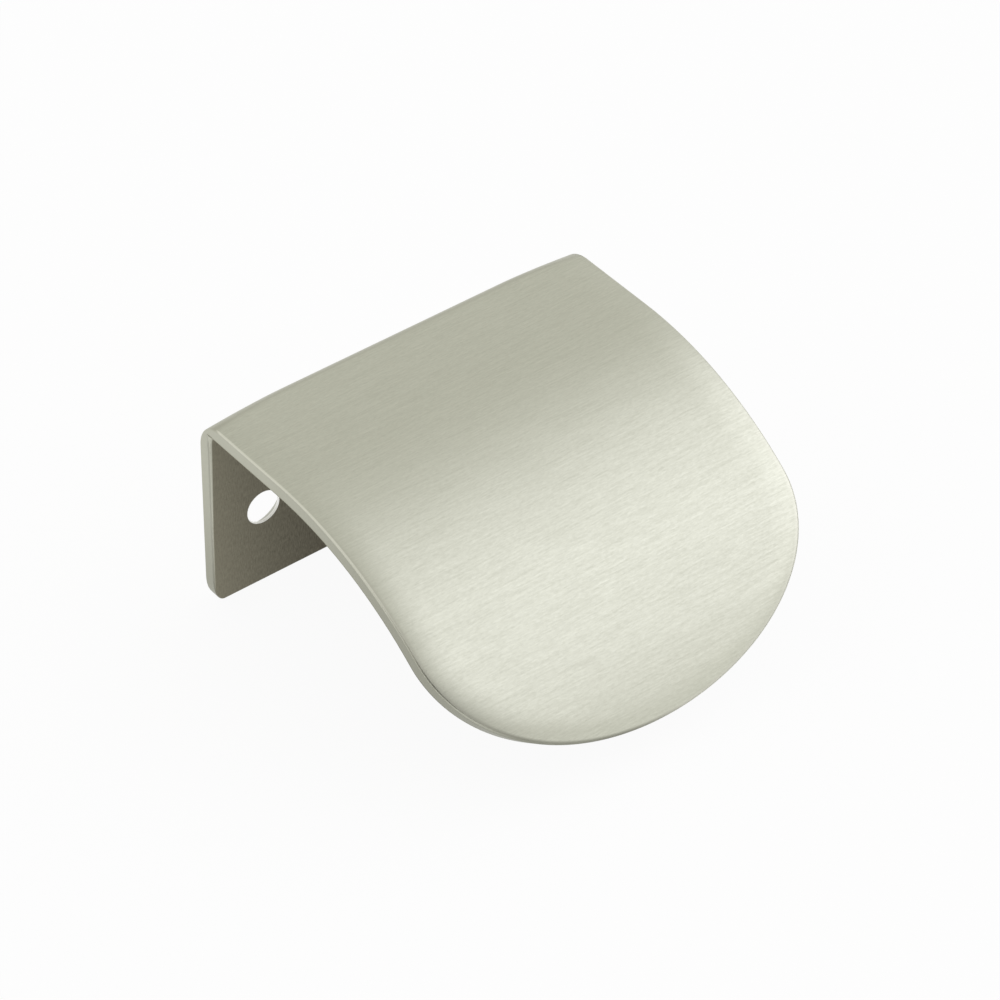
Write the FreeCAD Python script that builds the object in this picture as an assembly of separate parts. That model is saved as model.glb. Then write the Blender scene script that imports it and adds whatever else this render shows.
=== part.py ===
"""Tab pull for a cabinet door or drawer front: one folded metal leaf.

A flat flange stands against the back of the door and is screwed to it from behind.
A tight bend turns the leaf forward over the door's top edge. From there the leaf runs
flat, then curves down and forward to a rounded nose that the fingers pull on.

Frame: X runs along the door's edge, the tab points to -Y, and +Z is up. The origin is
the middle of the line between the two screw holes, on the flange's seat, the plane
y = 0. Lengths are in millimetres and angles in degrees.
"""

import FreeCAD
import Part
import os
from math import cos, degrees, pi, radians, sin, tan

Vector = FreeCAD.Vector
Vector2d = FreeCAD.Base.Vector2d

# The leaf before it is folded
leaf_width = 44.0
leaf_thickness = 1.5

# Flange behind the door, measured from the line of the screw holes. Its lower corners
# are quarters of an ellipse.
flange_above_holes = 11.9
flange_below_holes = 9.2
flange_corner_width = 1.2
flange_corner_height = 2.6

# Tight bend over the door's back edge. Its outside opens to a wider radius over the
# last stretch before each side of the leaf, slowly at first.
bend_inner_radius = 1.0
bend_end_widening = 1.0
bend_end_length = 9.0
bend_end_ease = 1.7

# How many sections shape each of those ends, and how much flat sheet on each side of
# the bend is made together with it
bend_end_sections = 6
bend_end_margin = 0.5

# Tab: flat from the seat over the door's edge, then curved, measured on its top face
flat_reach = 11.0
curve_radius = 34.5
curve_turn = 62.7

# Rounded nose: half an ellipse as wide as the leaf, this long round the curve
nose_length = 15.6

# Screw holes in the flange, countersunk from its back down to a thin land
hole_spacing = 32.0
hole_diameter = 3.7
hole_land = 0.3
countersink_angle = 90.0

# Rounding of the rim on the leaf's outer face and on its inner one
outer_rim_radius = 0.2
inner_rim_radius = 0.2

# Two faces that meet at more than this angle have a sharp edge between them
sharp_angle = 40.0

# How near a point must be to a face to count as lying on it
on_face = 0.01

# How far a cutter runs past the faces that it cuts through
past = 1.5

# Places that follow from the sizes above
outer_bend_radius = bend_inner_radius + leaf_thickness
bend_end_reach = outer_bend_radius + bend_end_widening + bend_end_margin
under_radius = curve_radius - leaf_thickness
foot_height = -flange_below_holes
under_height = flange_above_holes
top_height = under_height + leaf_thickness
nose_start = curve_turn - degrees(nose_length / curve_radius)
bend_axis = Vector(0.0, -bend_inner_radius, under_height - bend_inner_radius)
curve_axis = Vector(0.0, -flat_reach, top_height - curve_radius)


def bend_arc(axis: Vector, radius: float) -> list[Vector]:
    """Return the start, middle and end of a quarter turn round the bend.

    Args:
        axis: the turn's centre, in the plane x = 0.
        radius: its radius.

    Returns:
        The three points, from the flange's side of the bend to the tab's.
    """
    turns = (0.0, pi / 4.0, pi / 2.0)
    return [axis + Vector(0.0, radius * cos(turn), radius * sin(turn)) for turn in turns]


def curve_arc(radius: float) -> list[Vector]:
    """Return the start, middle and end of the tab's curve, down to where the nose begins.

    Args:
        radius: distance from the curve's axis: the top's or the underside's.

    Returns:
        The three points, in the plane x = 0.
    """
    turns = [radians(nose_start) * share for share in (0.0, 0.5, 1.0)]
    return [curve_axis + Vector(0.0, -radius * sin(turn), radius * cos(turn)) for turn in turns]


def line(start: Vector, end: Vector) -> Part.Edge:
    """Return the straight edge between two points."""
    return Part.LineSegment(start, end).toShape()


def arc(points: list[Vector]) -> Part.Edge:
    """Return the arc through three points as an edge."""
    return Part.Arc(*points).toShape()


def side_profile() -> Part.Face:
    """Return the leaf's section from the flange's foot to where the nose begins."""
    foot_back = Vector(0.0, leaf_thickness, foot_height)
    foot_front = Vector(0.0, 0.0, foot_height)
    top_end = Vector(0.0, -flat_reach, top_height)
    under_end = Vector(0.0, -flat_reach, under_height)
    outer_bend = bend_arc(bend_axis, outer_bend_radius)
    inner_bend = bend_arc(bend_axis, bend_inner_radius)[::-1]
    top_curve = curve_arc(curve_radius)
    under_curve = curve_arc(under_radius)[::-1]
    edges = [
        line(foot_back, outer_bend[0]),
        arc(outer_bend),
        line(outer_bend[-1], top_end),
        arc(top_curve),
        line(top_curve[-1], under_curve[0]),
        arc(under_curve),
        line(under_end, inner_bend[0]),
        arc(inner_bend),
        line(inner_bend[-1], foot_front),
        line(foot_front, foot_back),
    ]
    return Part.Face(Part.Wire(edges))


def bend_section(x: float, outer_radius: float) -> Part.Wire:
    """Return the section of the bend and a little of the flat sheet on its two sides.

    Args:
        x: place of the section along the leaf's width.
        outer_radius: radius of the bend's outside in this section.

    Returns:
        The section's closed outline.
    """
    low = top_height - bend_end_reach
    front = leaf_thickness - bend_end_reach
    outer_axis = Vector(0.0, leaf_thickness - outer_radius, top_height - outer_radius)
    outer_bend = bend_arc(outer_axis, outer_radius)
    inner_bend = bend_arc(bend_axis, bend_inner_radius)[::-1]
    back_low = Vector(0.0, leaf_thickness, low)
    inner_low = Vector(0.0, 0.0, low)
    top_front = Vector(0.0, front, top_height)
    under_front = Vector(0.0, front, under_height)
    edges = [
        line(back_low, outer_bend[0]),
        arc(outer_bend),
        line(outer_bend[-1], top_front),
        line(top_front, under_front),
        line(under_front, inner_bend[0]),
        arc(inner_bend),
        line(inner_bend[-1], inner_low),
        line(inner_low, back_low),
    ]
    section = Part.Wire(edges)
    section.translate(Vector(x, 0.0, 0.0))
    return section


def bend_end(side: float) -> Part.Shape:
    """Return one end of the bend, whose outside opens towards the leaf's side.

    Args:
        side: 1 for the end at +X and -1 for the one at -X.

    Returns:
        The end of the bend, with a little of the flat sheet on its two sides.
    """
    sections = []
    for step in range(bend_end_sections):
        share = step / (bend_end_sections - 1)
        x = leaf_width / 2.0 - bend_end_length * (1.0 - share)
        radius = outer_bend_radius + bend_end_widening * share**bend_end_ease
        sections.append(bend_section(side * x, radius))
    return Part.makeLoft(sections, True, False)


def folded_strip() -> Part.Shape:
    """Return the leaf at its full width, without the nose and the holes."""
    profile = side_profile()
    profile.translate(Vector(-leaf_width / 2.0, 0.0, 0.0))
    strip = profile.extrude(Vector(leaf_width, 0.0, 0.0))
    low = top_height - bend_end_reach
    front = leaf_thickness - bend_end_reach
    for side, left in ((-1.0, -leaf_width / 2.0), (1.0, leaf_width / 2.0 - bend_end_length)):
        room = Part.makeBox(bend_end_length, bend_end_reach, bend_end_reach, Vector(left, front, low))
        strip = strip.cut(room).fuse(bend_end(side))
    return strip


def nose_face(radius: float) -> tuple[Part.Face, list[Part.Edge]]:
    """Return the nose's outline, laid round one face of the curved leaf.

    The outline is drawn in the turn round the curve's axis and the place along the
    width, so the same outline on both faces gives an edge square to the leaf.

    Args:
        radius: radius of that face about the curve's axis.

    Returns:
        The nose's face, and its edges: the ellipse's two quarters and the root.
    """
    surface = Part.Cylinder()
    surface.Center = curve_axis
    surface.Axis = Vector(1.0, 0.0, 0.0)
    surface.Radius = radius
    root = pi / 2.0 + radians(nose_start)
    tip = pi / 2.0 + radians(curve_turn)
    half_width = leaf_width / 2.0
    right_corner = Vector2d(root, half_width)
    left_corner = Vector2d(root, -half_width)
    ellipse = Part.Geom2d.Ellipse2d(right_corner, Vector2d(tip, 0.0), Vector2d(root, 0.0))
    outline = [
        Part.Geom2d.ArcOfEllipse2d(ellipse, 0.0, pi / 2.0),
        Part.Geom2d.ArcOfEllipse2d(ellipse, pi / 2.0, pi),
        Part.Geom2d.Line2dSegment(left_corner, right_corner),
    ]
    edges = [curve.toShape(surface) for curve in outline]
    face = Part.Face(surface, Part.Wire(edges))
    face.validate()
    return face, edges


def nose() -> Part.Shape:
    """Return the rounded end of the tab as a closed solid."""
    top, top_edges = nose_face(curve_radius)
    under, under_edges = nose_face(under_radius)
    walls = [Part.makeRuledSurface(a, b) for a, b in zip(top_edges, under_edges)]
    shell = Part.makeShell([top, under, *walls])
    shell.sewShape()
    return Part.makeSolid(shell)


def corner_cutter(side: float) -> Part.Shape:
    """Return the cutter that gives a lower corner of the flange its rounded outline.

    Args:
        side: 1 for the corner at +X and -1 for the one at -X.

    Returns:
        The cutter, which runs past the flange's faces, its foot and its side.
    """
    end_x = side * leaf_width / 2.0
    foot_x = end_x - side * flange_corner_width
    start_z = foot_height + flange_corner_height
    on_foot = Vector(foot_x, -past, foot_height)
    on_side = Vector(end_x, -past, start_z)
    ellipse = Part.Ellipse(on_foot, on_side, Vector(foot_x, -past, start_z))
    below_foot = Vector(foot_x, -past, foot_height - past)
    beyond_corner = Vector(end_x + side * past, -past, foot_height - past)
    beyond_side = Vector(end_x + side * past, -past, start_z)
    edges = [
        Part.ArcOfEllipse(ellipse, 0.0, pi / 2.0).toShape(),
        line(on_side, beyond_side),
        line(beyond_side, beyond_corner),
        line(beyond_corner, below_foot),
        line(below_foot, on_foot),
    ]
    through = Vector(0.0, leaf_thickness + 2.0 * past, 0.0)
    return Part.Face(Part.Wire(edges)).extrude(through)


def depth_in_leaf(point: Vector) -> float:
    """Return how deep a point lies under the leaf's outer face.

    The outer face is the flange's back, the outside of the bend and the tab's top.
    """
    in_section = Vector(0.0, point.y, point.z)
    if point.y < -flat_reach:
        return curve_radius - in_section.distanceToPoint(curve_axis)
    if point.y < bend_axis.y:
        return top_height - point.z
    if point.z < bend_axis.z:
        return leaf_thickness - point.y
    return outer_bend_radius - in_section.distanceToPoint(bend_axis)


def is_sharp(leaf: Part.Shape, edge: Part.Edge, middle: Vector) -> bool:
    """Tell whether the faces on the two sides of an edge meet at an angle.

    Args:
        leaf: the shape that holds the edge.
        edge: the edge.
        middle: a point halfway along it.

    Returns:
        True for a sharp edge, and False where one face runs smoothly into the other.
    """
    normals = []
    for face in leaf.ancestorsOfType(edge, Part.Face):
        normals.append(face.normalAt(*face.Surface.parameter(middle)))
    return len(normals) == 2 and abs(normals[0].dot(normals[1])) < cos(radians(sharp_angle))


def round_rim(leaf: Part.Shape, depth: float, radius: float) -> Part.Shape:
    """Round the leaf's rim all the way round, on one of its two faces.

    The rounding runs on by itself along edges that follow smoothly, such as those at
    the bend's ends, which lie deeper than the face they belong to.

    Args:
        leaf: the leaf, before its holes are cut.
        depth: 0 for the outer face, and the leaf's thickness for the inner one.
        radius: radius of the rounding.

    Returns:
        The rounded leaf.
    """
    rim = []
    for edge in leaf.Edges:
        middle = edge.valueAt((edge.FirstParameter + edge.LastParameter) / 2.0)
        if abs(depth_in_leaf(middle) - depth) < on_face and is_sharp(leaf, edge, middle):
            rim.append(edge)
    return leaf.makeFillet(radius, rim)


def screw_hole(x: float) -> Part.Shape:
    """Return the cutter of one screw hole: a bore, and a cone that opens to the back.

    Args:
        x: place of the hole along the leaf's width.

    Returns:
        The cutter, which runs past both faces of the flange.
    """
    to_the_back = Vector(0.0, 1.0, 0.0)
    radius = hole_diameter / 2.0
    cone_depth = leaf_thickness - hole_land + past
    mouth_radius = radius + cone_depth * tan(radians(countersink_angle / 2.0))
    bore_length = leaf_thickness + 2.0 * past
    bore = Part.makeCylinder(radius, bore_length, Vector(x, -past, 0.0), to_the_back)
    cone = Part.makeCone(radius, mouth_radius, cone_depth, Vector(x, hole_land, 0.0), to_the_back)
    return bore.fuse(cone)


def folded_leaf() -> Part.Shape:
    """Return the whole pull: the strip with its nose, rounded rims and screw holes."""
    leaf = folded_strip().fuse(nose())
    for side in (-1.0, 1.0):
        leaf = leaf.cut(corner_cutter(side))
    leaf = leaf.removeSplitter()
    leaf = round_rim(leaf, 0.0, outer_rim_radius)
    leaf = round_rim(leaf, leaf_thickness, inner_rim_radius)
    for x in (-hole_spacing / 2.0, hole_spacing / 2.0):
        leaf = leaf.cut(screw_hole(x))
    return leaf.Solids[0]


def main() -> None:
    """Build the leaf, print its size and write it."""
    leaf = folded_leaf()
    box = leaf.optimalBoundingBox()
    print(f"leaf: valid {leaf.isValid()}, {leaf.Volume:.1f} cubic millimetres")
    print(f"about {box.XLength:.1f} wide, {box.YLength:.1f} deep and {box.ZLength:.1f} high")
    os.makedirs("parts", exist_ok=True)
    leaf.exportStep("parts/leaf.step")


main()
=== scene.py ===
"""Looks of the tab pull: its brushed metal finish, the studio round it and the camera.

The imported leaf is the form, and it is shown as it is. This script dresses it in a warm
satin metal, brushed along the fold, sets it on a pale floor in soft studio light and
looks at it from the photograph's side. Lengths are in metres, in the leaf's own frame:
X along the fold, the tab towards -Y, and +Z up.
"""

import logging
import math
from dataclasses import dataclass
from enum import Enum
from typing import Any

import bmesh
import bpy
from mathutils import Matrix, Vector

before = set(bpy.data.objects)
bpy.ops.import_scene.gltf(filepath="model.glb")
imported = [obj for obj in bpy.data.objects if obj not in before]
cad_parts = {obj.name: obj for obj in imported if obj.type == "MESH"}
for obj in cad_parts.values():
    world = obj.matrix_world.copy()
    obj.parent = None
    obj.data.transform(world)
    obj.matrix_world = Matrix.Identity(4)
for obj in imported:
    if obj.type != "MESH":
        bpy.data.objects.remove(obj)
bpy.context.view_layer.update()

LOG = logging.getLogger("tab_pull")

MILLIMETRE = 0.001

Colour = tuple[float, float, float]
Place = tuple[float, float, float]

WHITE: Colour = (1.0, 1.0, 1.0)
SQUARE_ROOT = 0.5
PATTERN_MIDDLE = 0.5
TURN_FROM_DOWN_TO_LEVEL = 90.0
MATRIX_SIZE = 4

# These nodes have several sockets under one name, so the sockets go by number.
MATH_FIRST_INPUT = 0
MATH_SECOND_INPUT = 1
MIX_SHARE_INPUT = 0
MIX_FIRST_COLOUR_INPUT = 6
MIX_SECOND_COLOUR_INPUT = 7
MIX_COLOUR_OUTPUT = 2
MIX_SHADER_SHARE_INPUT = 0
MIX_SHADER_FIRST_INPUT = 1
MIX_SHADER_SECOND_INPUT = 2


def opaque(colour: Colour) -> tuple[float, float, float, float]:
    """Return a colour with the full alpha that Blender's colour sockets ask for."""
    return (*colour, 1.0)


class Grain(Enum):
    """Which way the brush lines run, as the stretch of their pattern along X, Y and Z."""

    ALONG_THE_FOLD = (1.0, 0.0, 0.0)
    UP_THE_FLANGE = (0.0, 0.0, 1.0)


class Reading:
    """One number that varies over a surface, which takes part in Python sums."""

    def __init__(self, bench: "NodeBench", socket: bpy.types.NodeSocket) -> None:
        """Wrap a socket.

        Args:
            bench: the bench that the socket's node stands on.
            socket: the output socket that gives the number.
        """
        self.bench = bench
        self.socket = socket

    def __add__(self, other: "Reading | float") -> "Reading":
        """Return this number plus another."""
        return self.bench.sum_of("ADD", self, other)

    def __radd__(self, other: float) -> "Reading":
        """Return a plain number plus this one."""
        return self.bench.sum_of("ADD", other, self)

    def __sub__(self, other: "Reading | float") -> "Reading":
        """Return this number less another."""
        return self.bench.sum_of("SUBTRACT", self, other)

    def __rsub__(self, other: float) -> "Reading":
        """Return a plain number less this one."""
        return self.bench.sum_of("SUBTRACT", other, self)

    def __mul__(self, other: "Reading | float") -> "Reading":
        """Return this number times another."""
        return self.bench.sum_of("MULTIPLY", self, other)

    def __rmul__(self, other: float) -> "Reading":
        """Return a plain number times this one."""
        return self.bench.sum_of("MULTIPLY", other, self)

    def __truediv__(self, other: "Reading | float") -> "Reading":
        """Return this number divided by another."""
        return self.bench.sum_of("DIVIDE", self, other)

    def __rtruediv__(self, other: float) -> "Reading":
        """Return a plain number divided by this one."""
        return self.bench.sum_of("DIVIDE", other, self)

    def __abs__(self) -> "Reading":
        """Return this number without its sign."""
        return self.bench.sum_of("ABSOLUTE", self, 0.0)

    def __pow__(self, power: float) -> "Reading":
        """Return this number raised to a power."""
        return self.bench.sum_of("POWER", self, power)

    def at_least(self, floor: float) -> "Reading":
        """Return this number, or the floor where it falls below that."""
        return self.bench.sum_of("MAXIMUM", self, floor)

    def at_most(self, ceiling: "Reading | float") -> "Reading":
        """Return this number, or the ceiling where it rises above that."""
        return self.bench.sum_of("MINIMUM", self, ceiling)

    def turn_from(self, other: "Reading") -> "Reading":
        """Return the angle whose tangent is this number over the other, in radians."""
        return self.bench.sum_of("ARCTAN2", self, other)

    def eased(self, start: float, end: float) -> "Reading":
        """Return a soft step that goes from 0 to 1 as this number goes from start to end.

        Args:
            start: the value up to which the step is 0.
            end: the value from which it is 1.

        Returns:
            The step.
        """
        settings = {"interpolation_type": "SMOOTHSTEP"}
        sockets = {"Value": self, "From Min": start, "From Max": end}
        made = self.bench.node("ShaderNodeMapRange", settings, sockets)
        return Reading(self.bench, made.outputs["Result"])


@dataclass(frozen=True)
class Span:
    """A stretch of some measure, over which one look turns softly into the next.

    Attributes:
        start: the value up to which the first look holds.
        end: the value from which the next one holds.
    """

    start: float
    end: float

    def past(self, reading: Reading) -> Reading:
        """Return how far a reading has gone through the stretch, from 0 to 1."""
        return reading.eased(self.start, self.end)

    def before(self, reading: Reading) -> Reading:
        """Return how much of the stretch still lies ahead of a reading, from 1 to 0."""
        return 1.0 - self.past(reading)


class NodeBench:
    """The node tree of one material or world, and the one way in which its nodes are made."""

    def __init__(self, tree: bpy.types.NodeTree) -> None:
        """Clear a tree to build on.

        Args:
            tree: the tree of a material or of the world.
        """
        self.tree = tree
        self.tree.nodes.clear()

    def node(
        self, kind: str, settings: dict[str, Any], sockets: dict[str | int, Any]
    ) -> bpy.types.Node:
        """Add a node.

        Args:
            kind: Blender's name of the node's type.
            settings: the node's own settings, which are set first.
            sockets: what each named or numbered input gets: a number, a colour, a
                vector, a socket or a Reading.

        Returns:
            The node.
        """
        made = self.tree.nodes.new(kind)
        for name, value in settings.items():
            setattr(made, name, value)
        for key, value in sockets.items():
            source = value.socket if isinstance(value, Reading) else value
            if isinstance(source, bpy.types.NodeSocket):
                self.tree.links.new(source, made.inputs[key])
            else:
                made.inputs[key].default_value = source
        return made

    def sum_of(
        self, operation: str, first: "Reading | float", second: "Reading | float"
    ) -> Reading:
        """Add a Math node.

        Args:
            operation: Blender's name of the operation.
            first: its first number.
            second: its second number.

        Returns:
            The result.
        """
        sockets = {MATH_FIRST_INPUT: first, MATH_SECOND_INPUT: second}
        made = self.node("ShaderNodeMath", {"operation": operation}, sockets)
        return Reading(self, made.outputs["Value"])

    def place(self) -> bpy.types.NodeSocket:
        """Return the place of the point that is shaded, in the object's own frame."""
        return self.node("ShaderNodeTexCoord", {}, {}).outputs["Object"]

    def parts_of(self, vector: bpy.types.NodeSocket) -> tuple[Reading, Reading, Reading]:
        """Return a vector's three numbers.

        Args:
            vector: the socket that gives the vector.

        Returns:
            Its X, Y and Z.
        """
        made = self.node("ShaderNodeSeparateXYZ", {}, {"Vector": vector})
        x, y, z = (Reading(self, socket) for socket in made.outputs)
        return x, y, z

    def stretched(self, vector: bpy.types.NodeSocket, scale: Place) -> bpy.types.NodeSocket:
        """Return a vector with each of its numbers scaled.

        Args:
            vector: the socket that gives the vector.
            scale: the factor of each of its numbers.

        Returns:
            The socket of the scaled vector.
        """
        sockets = {MATH_FIRST_INPUT: vector, MATH_SECOND_INPUT: scale}
        made = self.node("ShaderNodeVectorMath", {"operation": "MULTIPLY"}, sockets)
        return made.outputs["Vector"]

    def along(self, vector: bpy.types.NodeSocket, way: Place) -> Reading:
        """Return how far a vector points along a fixed way.

        Args:
            vector: the socket that gives the vector.
            way: the fixed way.

        Returns:
            Their dot product.
        """
        sockets = {MATH_FIRST_INPUT: vector, MATH_SECOND_INPUT: way}
        made = self.node("ShaderNodeVectorMath", {"operation": "DOT_PRODUCT"}, sockets)
        return Reading(self, made.outputs["Value"])

    def noise(self, vector: bpy.types.NodeSocket, detail: float, roughness: float) -> Reading:
        """Return a soft random pattern between about 0 and 1, centred on 0.5.

        Args:
            vector: where to read the pattern, one unit to a blot.
            detail: how many finer patterns are laid over it.
            roughness: how strong the finer ones are.

        Returns:
            The pattern.
        """
        settings = {"noise_dimensions": "3D", "normalize": True}
        sockets = {"Vector": vector, "Scale": 1.0, "Detail": detail, "Roughness": roughness}
        made = self.node("ShaderNodeTexNoise", settings, sockets)
        return Reading(self, made.outputs["Fac"])

    def blended(
        self, share: Reading, first: Colour | bpy.types.NodeSocket, second: Colour
    ) -> bpy.types.NodeSocket:
        """Return a colour between another and a plain one.

        Args:
            share: how much of the second colour there is, from 0 to 1.
            first: the colour at 0.
            second: the plain colour at 1.

        Returns:
            The socket of the colour.
        """
        start = opaque(first) if isinstance(first, tuple) else first
        return self.mixed(share, start, opaque(second))

    def mixed(
        self, share: Reading, first: Any, second: Any, way: str = "MIX"
    ) -> bpy.types.NodeSocket:
        """Add a Mix node for two colours.

        Args:
            share: how far the second colour counts, from 0 to 1.
            first: the first colour's socket, or its four numbers.
            second: the second colour's.
            way: Blender's name of the way they are mixed.

        Returns:
            The socket of the colour.
        """
        settings = {"data_type": "RGBA", "blend_type": way, "clamp_factor": True}
        sockets = {
            MIX_SHARE_INPUT: share,
            MIX_FIRST_COLOUR_INPUT: first,
            MIX_SECOND_COLOUR_INPUT: second,
        }
        made = self.node("ShaderNodeMix", settings, sockets)
        return made.outputs[MIX_COLOUR_OUTPUT]


@dataclass(frozen=True)
class BrushLines:
    """One kind of fine lines in the metal.

    Attributes:
        spacing: distance from line to line.
        length: how far a line runs before it fades.
        detail: how many finer patterns are laid over them.
        weight: how strong the lines are.
        grain: which way they run.
        raggedness: how strong the finer patterns are.
    """

    spacing: float
    length: float
    detail: float
    weight: float
    grain: Grain = Grain.ALONG_THE_FOLD
    raggedness: float = 0.6

    def pattern(self, bench: NodeBench, place: bpy.types.NodeSocket) -> Reading:
        """Return the lines as a pattern centred on 0.

        Args:
            bench: where the nodes are made.
            place: the point that is shaded.

        Returns:
            The pattern.
        """
        across = 1.0 / self.spacing
        along = 1.0 / self.length
        x, y, z = (along * share + across * (1.0 - share) for share in self.grain.value)
        stretched = bench.stretched(place, (x, y, z))
        blots = bench.noise(stretched, self.detail, self.raggedness)
        return (blots - PATTERN_MIDDLE) * self.weight


@dataclass(frozen=True)
class Spot:
    """Where on the leaf the shaded point lies.

    Attributes:
        x: place along the fold.
        y: place along the tab.
        z: height.
        depth: how deep it lies under the outer face.
        nearness: how near it is to the sides and the nose: 1 on the rim.
        from_hole: how far it is from the axis of the nearest screw hole.
    """

    x: Reading
    y: Reading
    z: Reading
    depth: Reading
    nearness: Reading
    from_hole: Reading


@dataclass(frozen=True)
class LeafForm:
    """The leaf's main sizes, from which a finish tells where on the sheet a point lies.

    Attributes:
        half_width: half the leaf's width.
        thickness: thickness of the sheet.
        curve_y: place of the curve's axis.
        curve_z: height of the curve's axis.
        curve_radius: radius of the tab's top face about that axis.
        nose_start: turn at which the rounded nose begins, in degrees.
        nose_end: turn at which it ends, in degrees.
        hole_x: distance of the screw holes from the leaf's middle.
    """

    half_width: float = 22.0 * MILLIMETRE
    thickness: float = 1.5 * MILLIMETRE
    curve_y: float = -11.0 * MILLIMETRE
    curve_z: float = -21.1 * MILLIMETRE
    curve_radius: float = 34.5 * MILLIMETRE
    nose_start: float = 36.79
    nose_end: float = 62.7
    hole_x: float = 16.0 * MILLIMETRE

    def nearness(self, x: Reading, y: Reading, z: Reading) -> Reading:
        """Return how near a point is to the leaf's sides and nose.

        Args:
            x: place along the fold.
            y: place along the tab.
            z: height.

        Returns:
            The square of the share of the way there: 1 on the rim, and 0 in the middle.
        """
        start = math.radians(self.nose_start)
        span = math.radians(self.nose_end) - start
        turn = (self.curve_y - y).turn_from(z - self.curve_z)
        past = ((turn - start) / span).at_least(0.0)
        side = x / self.half_width
        return side * side + past * past

    def from_hole(self, x: Reading, z: Reading) -> Reading:
        """Return how far a point lies from the axis of the nearest screw hole."""
        across = abs(x) - self.hole_x
        return (across * across + z * z) ** SQUARE_ROOT

    def spot(self, bench: NodeBench, place: bpy.types.NodeSocket) -> Spot:
        """Return where on the leaf a point lies.

        Args:
            bench: where the nodes are made.
            place: the point.

        Returns:
            Its place, with the measures that the finish reads.
        """
        x, y, z = bench.parts_of(place)
        depth = self.depth(y, z)
        return Spot(x, y, z, depth, self.nearness(x, y, z), self.from_hole(x, z))

    def depth(self, y: Reading, z: Reading) -> Reading:
        """Return how deep a point lies under the leaf's outer face.

        Args:
            y: place along the tab.
            z: height.

        Returns:
            The depth, in metres: 0 on the outer face and the thickness on the inner one.
        """
        forward = (self.curve_y - y).at_least(0.0)
        up = z - self.curve_z
        radius = (forward * forward + up * up) ** SQUARE_ROOT
        return (self.curve_radius - radius).at_most(self.thickness - y)


@dataclass(frozen=True)
class RolledEdge:
    """The soft roll of the leaf's outer face towards its rim, left by the blanking.

    Attributes:
        begins: nearness to the rim at which the roll starts.
        fall: how far the face has dropped at the rim.
        power: how sharply it steepens towards the rim.
    """

    begins: float = 0.663
    fall: float = 0.415 * MILLIMETRE
    power: float = 2.6

    def drop(self, nearness: Reading) -> Reading:
        """Return the height that the roll gives the face: 0, and less towards the rim."""
        share = ((nearness - self.begins) / (1.0 - self.begins)).at_least(0.0)
        return share**self.power * -self.fall


@dataclass(frozen=True)
class CutEdge:
    """The sheet's cut edge, which is bare metal all the way round, with painted shade towards
    the nose and the flange's foot.

    Attributes:
        colour: its colour next to the bend.
        far_painted_shade_colour: its colour at the nose and at the flange's foot, a painted
            shade.
        begins: depth under the outer face over which it takes over.
        ends: depth over which the inner face takes over from it.
        noseward: stretch of the tab, seen from the nose, over which the painted shade lifts.
        footward: stretch of height over which the painted shade lifts on the flange.
        flange: place along the tab's line at which the flange begins.
    """

    colour: Colour = (0.500, 0.502, 0.415)
    far_painted_shade_colour: Colour = (0.315, 0.315, 0.255)
    begins: Span = Span(0.02 * MILLIMETRE, 0.16 * MILLIMETRE)
    ends: Span = Span(1.25 * MILLIMETRE, 1.48 * MILLIMETRE)
    noseward: Span = Span(-41.6 * MILLIMETRE, -2.0 * MILLIMETRE)
    footward: Span = Span(-16.0 * MILLIMETRE, 10.0 * MILLIMETRE)
    flange: Span = Span(-2.0 * MILLIMETRE, -1.0 * MILLIMETRE)

    def metal(self, bench: NodeBench, spot: Spot) -> bpy.types.NodeSocket:
        """Return the edge's colour, with its painted shade.

        Args:
            bench: where the nodes are made.
            spot: the point that is shaded.

        Returns:
            The socket of the colour.
        """
        # Painted shade: the edge darkens towards the nose and down the flange.
        down_the_flange = self.footward.before(spot.z) * self.flange.past(spot.y)
        painted_shade_share = self.noseward.before(spot.y) + down_the_flange
        return bench.blended(painted_shade_share, self.colour, self.far_painted_shade_colour)


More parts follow.
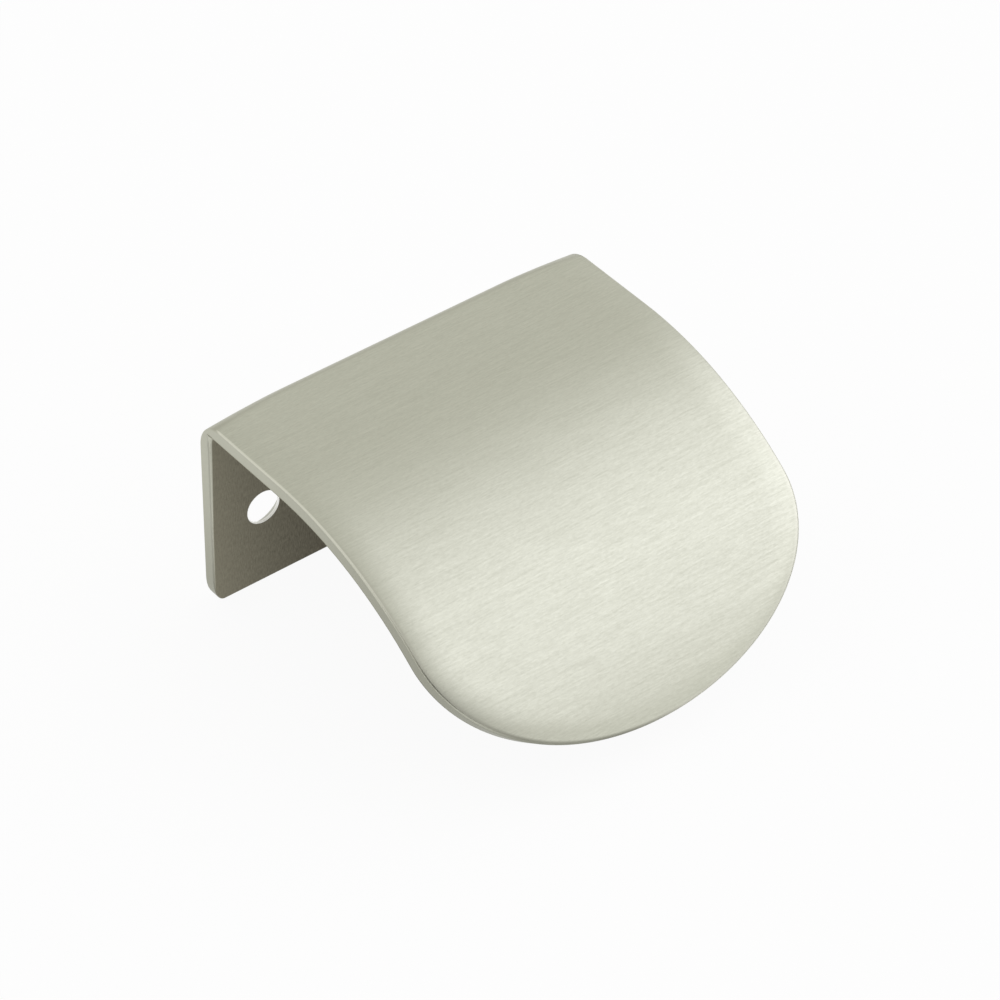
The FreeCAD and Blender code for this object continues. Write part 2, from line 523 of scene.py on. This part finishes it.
@dataclass(frozen=True)
class PaintedRimLight:
    """The thin line round the outer face: a painted highlight along the rim, and at the nose a
    line of painted shade and painted highlight.

    Attributes:
        colour: the painted highlight's colour on the flange and the upper tab.
        left_colour: the nose line's colour lower down, on the left, a painted shade.
        right_colour: the nose line's colour lower down, on the right, a painted highlight.
        shaded_colour: the nose line's colour at the nose, left of the middle, a deeper painted
            shade.
        upper: nearness to the rim over which the painted highlight begins.
        right_loss: share of that line that is lost on the right.
        nose: nearness over which the nose's line begins.
        slant: how much nearer to the nose both lines turn, for each length to the right.
        bright: stretch of the tab, seen from the nose, over which the painted highlight comes
            up.
        dark: stretch of the tab, seen from the nose, over which the nose's line fades.
        left: stretch across the leaf over which the painted shade begins.
        right: stretch across the leaf over which it ends.
    """

    colour: Colour = (0.850, 0.850, 0.745)
    left_colour: Colour = (0.550, 0.550, 0.465)
    right_colour: Colour = (0.660, 0.660, 0.565)
    shaded_colour: Colour = (0.310, 0.310, 0.255)
    upper: Span = Span(0.974, 0.987)
    right_loss: float = 1.0
    nose: Span = Span(0.940, 0.978)
    slant: float = 0.2
    bright: Span = Span(-39.0 * MILLIMETRE, -28.0 * MILLIMETRE)
    dark: Span = Span(-34.0 * MILLIMETRE, -14.0 * MILLIMETRE)
    left: Span = Span(-21.0 * MILLIMETRE, -15.0 * MILLIMETRE)
    right: Span = Span(-6.0 * MILLIMETRE, 4.0 * MILLIMETRE)

    def laid_on(
        self, bench: NodeBench, spot: Spot, face: bpy.types.NodeSocket
    ) -> bpy.types.NodeSocket:
        """Return a face's colour with the rim's painted highlight and painted shade laid round
        it.

        Args:
            bench: where the nodes are made.
            spot: the point that is shaded.
            face: the socket of the face's colour.

        Returns:
            The socket of the new colour.
        """
        # Painted shade and painted highlight in the nose's line, darker to the left of the
        # middle.
        rightward = self.right.past(spot.x)
        shaded = self.left.past(spot.x) * (1.0 - rightward)
        sides = bench.blended(rightward, self.left_colour, self.right_colour)
        nose_painted_light = bench.blended(shaded, sides, self.shaded_colour)
        slanted = spot.y + spot.x * self.slant
        nose_line = self.nose.past(spot.nearness) * self.dark.before(slanted)
        with_nose = bench.mixed(nose_line, face, nose_painted_light)
        # Painted highlight along the upper rim, lost on the right.
        painted_highlight = self.upper.past(spot.nearness) * self.bright.past(slanted)
        painted_highlight = painted_highlight * (1.0 - rightward * self.right_loss)
        return bench.blended(painted_highlight, with_nose, self.colour)


@dataclass(frozen=True)
class InnerFace:
    """The inner face, left duller than the outer one, and darker partly by its finish and
    partly by painted shade.

    Attributes:
        colour: its colour near the rim, dark partly by its finish and partly by painted shade.
        deep_painted_shade_colour: its colour in the middle, a painted shade under the tab.
        rim_highlight_colour: the colour of the painted highlight along its rim.
        lines: the fine short lines left by rolling.
        highlight_rim_span: distance from the leaf's middle over which the painted highlight
            begins.
        widening: how much wider that rim gets with each length of height.
        highlight_height_span: stretch of height over which the painted highlight comes up.
    """

    colour: Colour = (0.240, 0.226, 0.168)
    deep_painted_shade_colour: Colour = (0.072, 0.064, 0.045)
    rim_highlight_colour: Colour = (0.590, 0.590, 0.500)
    lines: BrushLines = BrushLines(
        spacing=0.12 * MILLIMETRE,
        length=0.6 * MILLIMETRE,
        detail=3.0,
        weight=1.0,
        grain=Grain.UP_THE_FLANGE,
    )
    highlight_rim_span: Span = Span(21.77 * MILLIMETRE, 21.93 * MILLIMETRE)
    widening: float = 0.02
    highlight_height_span: Span = Span(-14.0 * MILLIMETRE, 2.0 * MILLIMETRE)

    def metal(
        self, bench: NodeBench, place: bpy.types.NodeSocket, spot: Spot
    ) -> bpy.types.NodeSocket:
        """Return the face's colour.

        Args:
            bench: where the nodes are made.
            place: the point that is shaded.
            spot: where on the leaf that point lies.

        Returns:
            The socket of the colour.
        """
        # Painted shade: the inner face darkens towards its middle, under the tab.
        inward = 1.0 - spot.nearness + self.lines.pattern(bench, place)
        painted_hollow_shade = bench.blended(inward, self.colour, self.deep_painted_shade_colour)
        # Painted highlight along the inner face's rim, brighter higher up.
        sideways = abs(spot.x) + spot.z.at_least(0.0) * self.widening
        rim_highlight_share = self.highlight_rim_span.past(sideways) * self.highlight_height_span.past(spot.z)
        return bench.blended(rim_highlight_share, painted_hollow_shade, self.rim_highlight_colour)


@dataclass(frozen=True)
class BrushedLeafFinish:
    """Warm satin metal, brushed along the fold outside and left duller inside, with painted
    highlights and painted shade on the rims, the cut edge, the holes' walls and the inner face.

    Attributes:
        colour: the metal's colour on the outer face.
        shade: the colour at the bottom of the brush lines there.
        shade_share: how much of that colour a plain spot has.
        bore_highlight_colour: the near-white colour of the drilled wall of the screw holes, a
            painted highlight.
        bore_wall: distance from a hole's axis over which that wall ends.
        roughness: how dull the outer face is.
        inner_roughness: how dull the inner face is.
        roughness_swing: how much the brush lines change that.
        colour_swing: how strongly the lines show in the colour.
        line_depth: depth of the brush lines.
        brush: the hairlines, the longer strokes, and the broad uneven bands.
        roll: the roll of the outer face towards the rim.
        rim: the painted highlight and painted shade round the outer face's rim.
        edge: the sheet's cut edge.
        inner_face: the face towards the door.
        form: the leaf's main sizes.
    """

    colour: Colour = (0.660, 0.667, 0.567)
    shade: Colour = (0.520, 0.526, 0.436)
    shade_share: float = 0.4
    bore_highlight_colour: Colour = (0.950, 0.950, 0.920)
    bore_wall: Span = Span(1.86 * MILLIMETRE, 1.92 * MILLIMETRE)
    roughness: float = 0.42
    inner_roughness: float = 0.55
    roughness_swing: float = 0.16
    colour_swing: float = 0.9
    line_depth: float = 0.006 * MILLIMETRE
    brush: tuple[BrushLines, BrushLines, BrushLines] = (
        BrushLines(spacing=0.12 * MILLIMETRE, length=0.5 * MILLIMETRE, detail=3.0, weight=1.2),
        BrushLines(spacing=0.18 * MILLIMETRE, length=4.0 * MILLIMETRE, detail=2.0, weight=0.9),
        BrushLines(spacing=3.0 * MILLIMETRE, length=40.0 * MILLIMETRE, detail=1.0, weight=0.12),
    )
    roll: RolledEdge = RolledEdge()
    rim: PaintedRimLight = PaintedRimLight()
    edge: CutEdge = CutEdge()
    inner_face: InnerFace = InnerFace()
    form: LeafForm = LeafForm()

    def metal_colour(
        self, bench: NodeBench, place: bpy.types.NodeSocket, spot: Spot, lines: Reading
    ) -> bpy.types.NodeSocket:
        """Return the metal's colour, on whichever face of the leaf the point lies.

        Args:
            bench: where the nodes are made.
            place: the point that is shaded.
            spot: where on the leaf that point lies.
            lines: the brush lines there.

        Returns:
            The socket of the colour.
        """
        shade = lines * self.colour_swing + self.shade_share
        brushed = bench.blended(shade, self.colour, self.shade)
        outer = self.rim.laid_on(bench, spot, brushed)
        cut = self.edge.metal(bench, spot)
        outside = bench.mixed(self.edge.begins.past(spot.depth), outer, cut)
        inside = self.inner_face.metal(bench, place, spot)
        faces = bench.mixed(self.edge.ends.past(spot.depth), outside, inside)
        # Painted highlight: the holes' drilled walls are near white.
        bore_highlight_share = self.bore_wall.before(spot.from_hole) * self.edge.flange.past(spot.y)
        return bench.blended(bore_highlight_share, faces, self.bore_highlight_colour)

    def material(self) -> bpy.types.Material:
        """Make the finish as a material.

        Returns:
            The material.
        """
        made = bpy.data.materials.new("brushed_leaf_finish")
        made.use_nodes = True
        bench = NodeBench(made.node_tree)
        place = bench.place()
        spot = self.form.spot(bench, place)
        hairlines, strokes, bands = (kind.pattern(bench, place) for kind in self.brush)
        lines = hairlines + strokes + bands
        inner = self.edge.ends.past(spot.depth)
        height = lines * self.line_depth + self.roll.drop(spot.nearness) * (1.0 - inner)
        bump_sockets = {"Strength": 1.0, "Distance": 1.0, "Height": height}
        bump = bench.node("ShaderNodeBump", {}, bump_sockets)
        dull = (self.inner_roughness - self.roughness) * inner + self.roughness
        metal_sockets = {
            "Base Color": self.metal_colour(bench, place, spot, lines),
            "Metallic": 1.0,
            "Roughness": lines * self.roughness_swing + dull,
            "Normal": bump.outputs["Normal"],
        }
        metal = bench.node("ShaderNodeBsdfPrincipled", {}, metal_sockets)
        bench.node("ShaderNodeOutputMaterial", {}, {"Surface": metal.outputs["BSDF"]})
        return made


@dataclass(frozen=True)
class FloorFinish:
    """Pale, matt studio floor that shows white and keeps the object's shadow.

    Attributes:
        colour: the floor's colour.
        white_share: how much of the plain white background shows in it.
    """

    colour: Colour = (0.90, 0.90, 0.90)
    white_share: float = 0.94

    def material(self) -> bpy.types.Material:
        """Make the finish as a material.

        Returns:
            The material.
        """
        made = bpy.data.materials.new("studio_floor_finish")
        made.use_nodes = True
        bench = NodeBench(made.node_tree)
        rays = bench.node("ShaderNodeLightPath", {}, {})
        seen = (
            Reading(bench, rays.outputs["Is Camera Ray"])
            + Reading(bench, rays.outputs["Is Glossy Ray"])
            + Reading(bench, rays.outputs["Is Transmission Ray"])
        )
        matt_sockets = {"Color": opaque(self.colour)}
        matt = bench.node("ShaderNodeBsdfDiffuse", {}, matt_sockets)
        white_sockets = {"Color": opaque(WHITE), "Strength": 1.0}
        white = bench.node("ShaderNodeEmission", {}, white_sockets)
        mix_sockets = {
            MIX_SHADER_SHARE_INPUT: seen * self.white_share,
            MIX_SHADER_FIRST_INPUT: matt.outputs["BSDF"],
            MIX_SHADER_SECOND_INPUT: white.outputs["Emission"],
        }
        mix = bench.node("ShaderNodeMixShader", {}, mix_sockets)
        bench.node("ShaderNodeOutputMaterial", {}, {"Surface": mix.outputs["Shader"]})
        return made


@dataclass(frozen=True)
class Leaf:
    """The folded metal leaf, shown in its packed form.

    Attributes:
        node: the leaf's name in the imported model.
        finish: its finish.
    """

    node: str = "leaf"
    finish: BrushedLeafFinish = BrushedLeafFinish()

    def dress(self) -> bpy.types.Object:
        """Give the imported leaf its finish.

        Returns:
            The leaf's object.
        """
        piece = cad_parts[self.node]
        finish = self.finish.material()
        for slot in piece.material_slots:
            slot.material = finish
        return piece


@dataclass(frozen=True)
class SoftBox:
    """One soft lamp of the studio.

    Attributes:
        name: what the lamp is called.
        place: where its middle stands.
        target: the point that it faces.
        width: its width.
        height: its height.
        watts: its power.
    """

    name: str
    place: Place
    target: Place
    width: float
    height: float
    watts: float

    def light(self) -> bpy.types.Object:
        """Put the lamp into the scene.

        Returns:
            Its object.
        """
        data = bpy.data.lights.new(self.name, "AREA")
        data.shape = "RECTANGLE"
        data.size = self.width
        data.size_y = self.height
        data.energy = self.watts
        made = bpy.data.objects.new(self.name, data)
        aim = Vector(self.target) - Vector(self.place)
        made.location = self.place
        made.rotation_euler = aim.to_track_quat("-Z", "Y").to_euler()
        bpy.context.scene.collection.objects.link(made)
        return made


@dataclass(frozen=True)
class RoomPatch:
    """A wide patch of the room round the object, with a soft border.

    Attributes:
        way: the way from the object to the middle of the patch, one unit long.
        border: cosine of the angle from there at which the patch has faded out.
    """

    way: Place
    border: float

    def share(self, bench: NodeBench, direction: bpy.types.NodeSocket) -> Reading:
        """Return how much of the patch lies in a direction, from 0 to 1."""
        return Span(self.border, 1.0).past(bench.along(direction, self.way))


@dataclass(frozen=True)
class Studio:
    """Floor, soft daylight from all round, and the soft lamps.

    Attributes:
        floor_radius: radius of the floor.
        floor_sides: number of the floor's sides.
        floor_height: height of the floor, which the flange's foot stands on.
        overhead: colour and brightness of the room overhead.
        horizon: colour and brightness of the room at the height of the object.
        rise: height of a direction over which the horizon turns into the overhead.
        key: colour and brightness that the wide light on the right adds at its middle.
        key_patch: where that light is.
        screen: how much of the room's light the dark screen on the left takes away.
        screen_patch: where that screen is.
        floor_finish: the floor's finish.
        lamps: the soft lamps that stand in the room.
    """

    floor_radius: float = 4.0
    floor_sides: int = 96
    floor_height: float = -9.2 * MILLIMETRE
    overhead: Colour = (0.710, 0.706, 0.677)
    horizon: Colour = (0.790, 0.780, 0.750)
    rise: Span = Span(0.0, 0.6)
    key: Colour = (0.85, 0.85, 0.97)
    key_patch: RoomPatch = RoomPatch(way=(0.781, -0.377, 0.499), border=0.586)
    screen: float = 0.98
    screen_patch: RoomPatch = RoomPatch(way=(-0.594, -0.782, 0.190), border=0.586)
    floor_finish: FloorFinish = FloorFinish()
    lamps: tuple[SoftBox, ...] = (
        SoftBox(
            name="front_softbox",
            place=(0.50, -0.24, 0.32),
            target=(0.0, -0.02, 0.0),
            width=0.85,
            height=0.85,
            watts=0.15,
        ),
    )

    def floor(self) -> bpy.types.Object:
        """Build the floor.

        Returns:
            Its object.
        """
        mesh = bpy.data.meshes.new("studio_floor")
        shape = bmesh.new()
        lift = Matrix.Translation((0.0, 0.0, self.floor_height))
        bmesh.ops.create_circle(
            shape,
            cap_ends=True,
            segments=self.floor_sides,
            radius=self.floor_radius,
            matrix=lift,
        )
        shape.to_mesh(mesh)
        shape.free()
        mesh.materials.append(self.floor_finish.material())
        made = bpy.data.objects.new("studio_floor", mesh)
        bpy.context.scene.collection.objects.link(made)
        return made

    def room(self) -> None:
        """Build the world, which gives the soft light from all round."""
        world = bpy.data.worlds.new("studio_room")
        world.use_nodes = True
        bench = NodeBench(world.node_tree)
        direction = bench.node("ShaderNodeTexCoord", {}, {}).outputs["Generated"]
        _, _, height = bench.parts_of(direction)
        upward = self.rise.past(height)
        room = bench.blended(upward, self.horizon, self.overhead)
        key = self.key_patch.share(bench, direction)
        lit = bench.mixed(key, room, opaque(self.key), "ADD")
        strength = 1.0 - self.screen_patch.share(bench, direction) * self.screen
        sockets = {"Color": lit, "Strength": strength}
        background = bench.node("ShaderNodeBackground", {}, sockets)
        bench.node("ShaderNodeOutputWorld", {}, {"Surface": background.outputs["Background"]})
        bpy.context.scene.world = world

    def build(self) -> list[bpy.types.Object]:
        """Build the whole studio.

        Returns:
            The floor and the lamps.
        """
        self.room()
        return [self.floor(), *(lamp.light() for lamp in self.lamps)]


@dataclass(frozen=True)
class Viewpoint:
    """The camera, where the photograph was taken from.

    Attributes:
        place: where the camera stands.
        turn: how far it looks to the right of the tab's axis, in degrees.
        dip: how far it looks down, in degrees.
        roll: how far it is tilted to the left, in degrees.
        lens: focal length in millimetres.
        sensor: width of the sensor in millimetres.
        nearest: distance from which it sees.
        farthest: distance up to which it sees.
    """

    place: Place = (-0.19589, -0.25796, 0.27298)
    turn: float = 39.017
    dip: float = 40.889
    roll: float = 0.954
    lens: float = 156.44
    sensor: float = 36.0
    nearest: float = 0.01
    farthest: float = 50.0

    def build(self) -> bpy.types.Object:
        """Put the camera into the scene.

        Returns:
            Its object.
        """
        data = bpy.data.cameras.new("photo_camera")
        data.sensor_width = self.sensor
        data.lens = self.lens
        data.clip_start = self.nearest
        data.clip_end = self.farthest
        made = bpy.data.objects.new("photo_camera", data)
        lift = TURN_FROM_DOWN_TO_LEVEL - self.dip
        turn = Matrix.Rotation(math.radians(-self.turn), MATRIX_SIZE, "Z")
        dip = Matrix.Rotation(math.radians(lift), MATRIX_SIZE, "X")
        roll = Matrix.Rotation(math.radians(self.roll), MATRIX_SIZE, "Z")
        made.matrix_world = Matrix.Translation(self.place) @ turn @ dip @ roll
        bpy.context.scene.collection.objects.link(made)
        bpy.context.scene.camera = made
        return made


def main() -> None:
    """Dress the leaf and build the studio and the camera."""
    logging.basicConfig(level=logging.INFO, format="%(name)s: %(message)s")
    bpy.context.scene.view_settings.view_transform = "Standard"
    leaf = Leaf().dress()
    LOG.info("dressed %s, %d faces", leaf.name, len(leaf.data.polygons))
    for piece in Studio().build():
        LOG.info("set up %s", piece.name)
    LOG.info("camera %s", Viewpoint().build().name)


if __name__ == "__main__":
    main()
